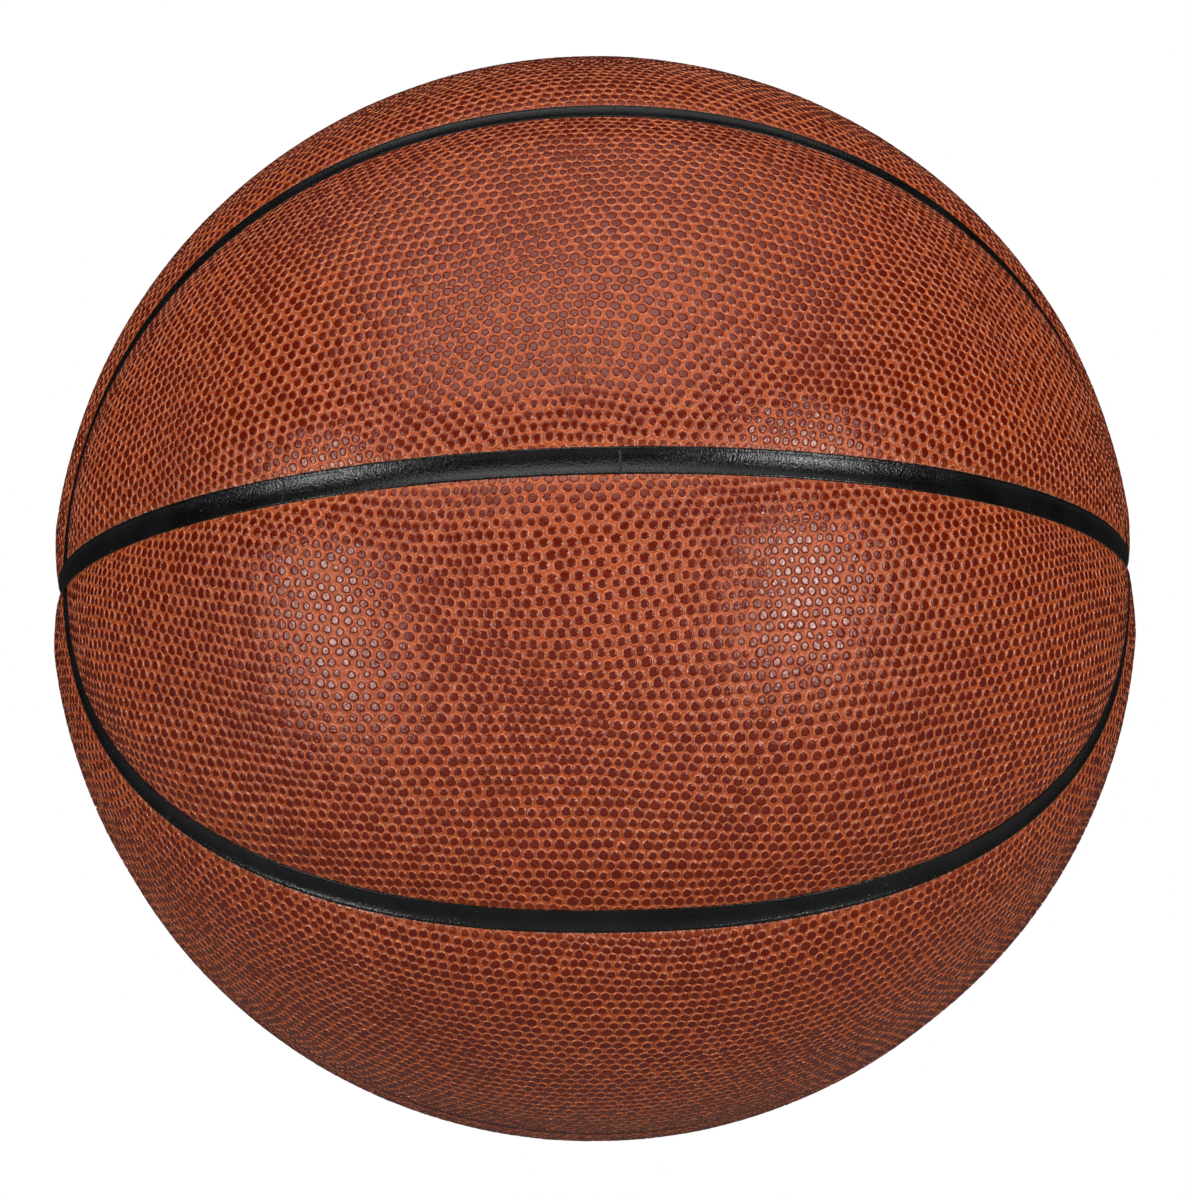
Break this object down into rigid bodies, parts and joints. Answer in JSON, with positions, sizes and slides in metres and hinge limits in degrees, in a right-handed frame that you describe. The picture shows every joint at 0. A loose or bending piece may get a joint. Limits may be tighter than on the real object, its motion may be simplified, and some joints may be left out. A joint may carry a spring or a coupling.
{
  "type": "basketball",
  "caption": "Pebbled basketball with cushioned cover panels, sunk black rubber channels, wound carcass, bladder and needle valve.",
  "frame": {"origin": "the ball's centre", "axes": "+X runs out through one of the two poles where the seams cross, +Z is square to the plane of the middle seam, and -Y points out through the middle of the front oval seam"},
  "size_m": [0.2204, 0.2208, 0.2208],
  "materials": {
    "pebbled_cover": "pebbled composite leather, semi-matt",
    "foam": "closed-cell foam",
    "channel_rubber": "smooth moulded rubber, slightly dusty",
    "carcass_rubber": "moulded rubber",
    "thread": "wound nylon thread",
    "bladder_rubber": "butyl rubber",
    "valve_rubber": "smooth soft rubber"
  },
  "bodies": {
    "root": {"cover_front_upper": "pebbled_cover", "cover_front_lower": "pebbled_cover", "cover_back_upper": "pebbled_cover", "cover_back_lower": "pebbled_cover", "cover_front_top": "pebbled_cover", "cover_front_bottom": "pebbled_cover", "cover_back_top": "pebbled_cover", "cover_back_bottom": "pebbled_cover", "foam_front_upper": "foam", "foam_front_lower": "foam", "foam_back_upper": "foam", "foam_back_lower": "foam", "foam_front_top": "foam", "foam_front_bottom": "foam", "foam_back_top": "foam", "foam_back_bottom": "foam", "strip_middle": "channel_rubber", "strip_over_top": "channel_rubber", "strip_under_bottom": "channel_rubber", "strip_front_upper": "channel_rubber", "strip_front_lower": "channel_rubber", "strip_back_upper": "channel_rubber", "strip_back_lower": "channel_rubber", "carcass": "carcass_rubber", "thread_winding": "thread", "bladder": "bladder_rubber", "valve_housing": "valve_rubber", "valve_plug": "valve_rubber"}
  },
  "joints": []
}
